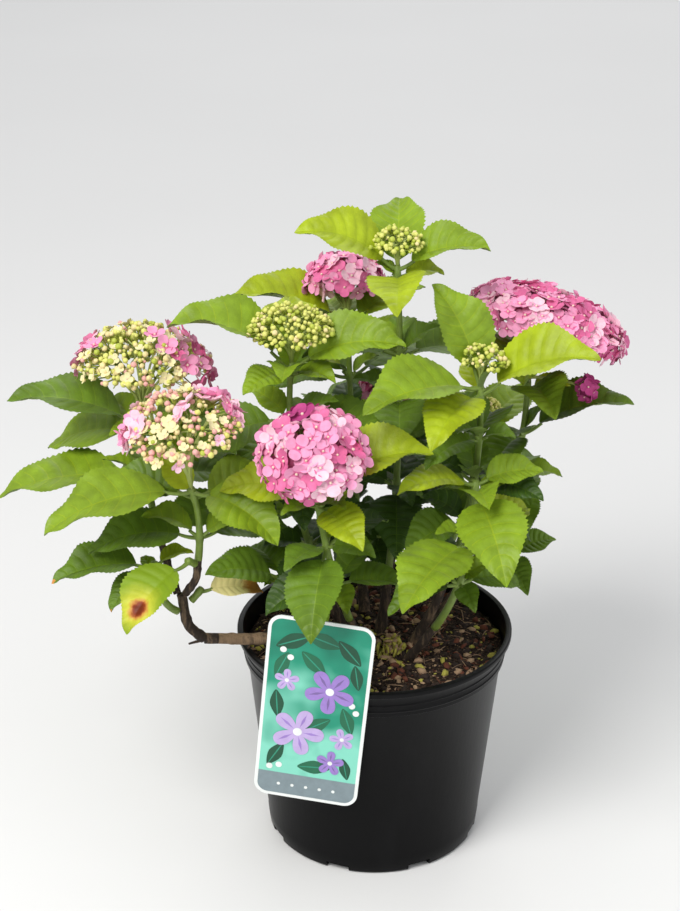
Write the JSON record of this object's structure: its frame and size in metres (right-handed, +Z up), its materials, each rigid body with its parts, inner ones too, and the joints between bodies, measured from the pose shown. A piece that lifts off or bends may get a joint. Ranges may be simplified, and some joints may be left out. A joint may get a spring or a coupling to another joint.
{
  "type": "potted hydrangea shrub",
  "caption": "Mophead hydrangea shrub in a round nursery pot, with leafy shoots and flower heads from green bud to full pink bloom, and a name tag hooked over the rim.",
  "frame": {"origin": "middle of the pot's flat underside", "axes": "+Z up; +Y away from the side that shows the name tag; +X to the right as that side is seen"},
  "size_m": [0.4191, 0.318, 0.4339],
  "materials": {
    "pot": "black moulded plastic with a low sheen",
    "compost": "dark brown fibrous compost with tan fibres",
    "tag": null,
    "bark": "dark grey-brown woody cane, paler where the bark has worn",
    "foliage": "soft green leaves and stems with pink florets and pale green buds"
  },
  "bodies": {
    "root": {"pot": "pot", "compost": "compost", "name_tag": "tag", "cane_centre": "bark", "cane_left_centre": "bark", "cane_front": "bark", "cane_right_front": "bark", "cane_front_right": "bark", "cane_right": "bark", "cane_rear": "bark", "cane_rear_right": "bark", "cane_rear_left": "bark", "cane_far_rear": "bark", "cane_left_low": "bark", "cane_left_high": "bark", "bough_left_rear": "bark", "bough_left_front": "bark", "shoot_top": "foliage", "shoot_left_centre": "foliage", "shoot_far_left": "foliage", "shoot_left": "foliage", "shoot_front": "foliage", "shoot_rear": "foliage", "shoot_far_right": "foliage", "shoot_right_front": "foliage", "shoot_front_right": "foliage", "shoot_rear_right": "foliage", "shoot_rear_left": "foliage", "shoot_far_rear": "foliage", "spray_low_left": "foliage", "spray_spotted": "foliage", "spray_dry": "foliage", "spray_low_centre": "foliage", "spray_low_right": "foliage", "spray_low_rear": "foliage"}
  },
  "joints": []
}
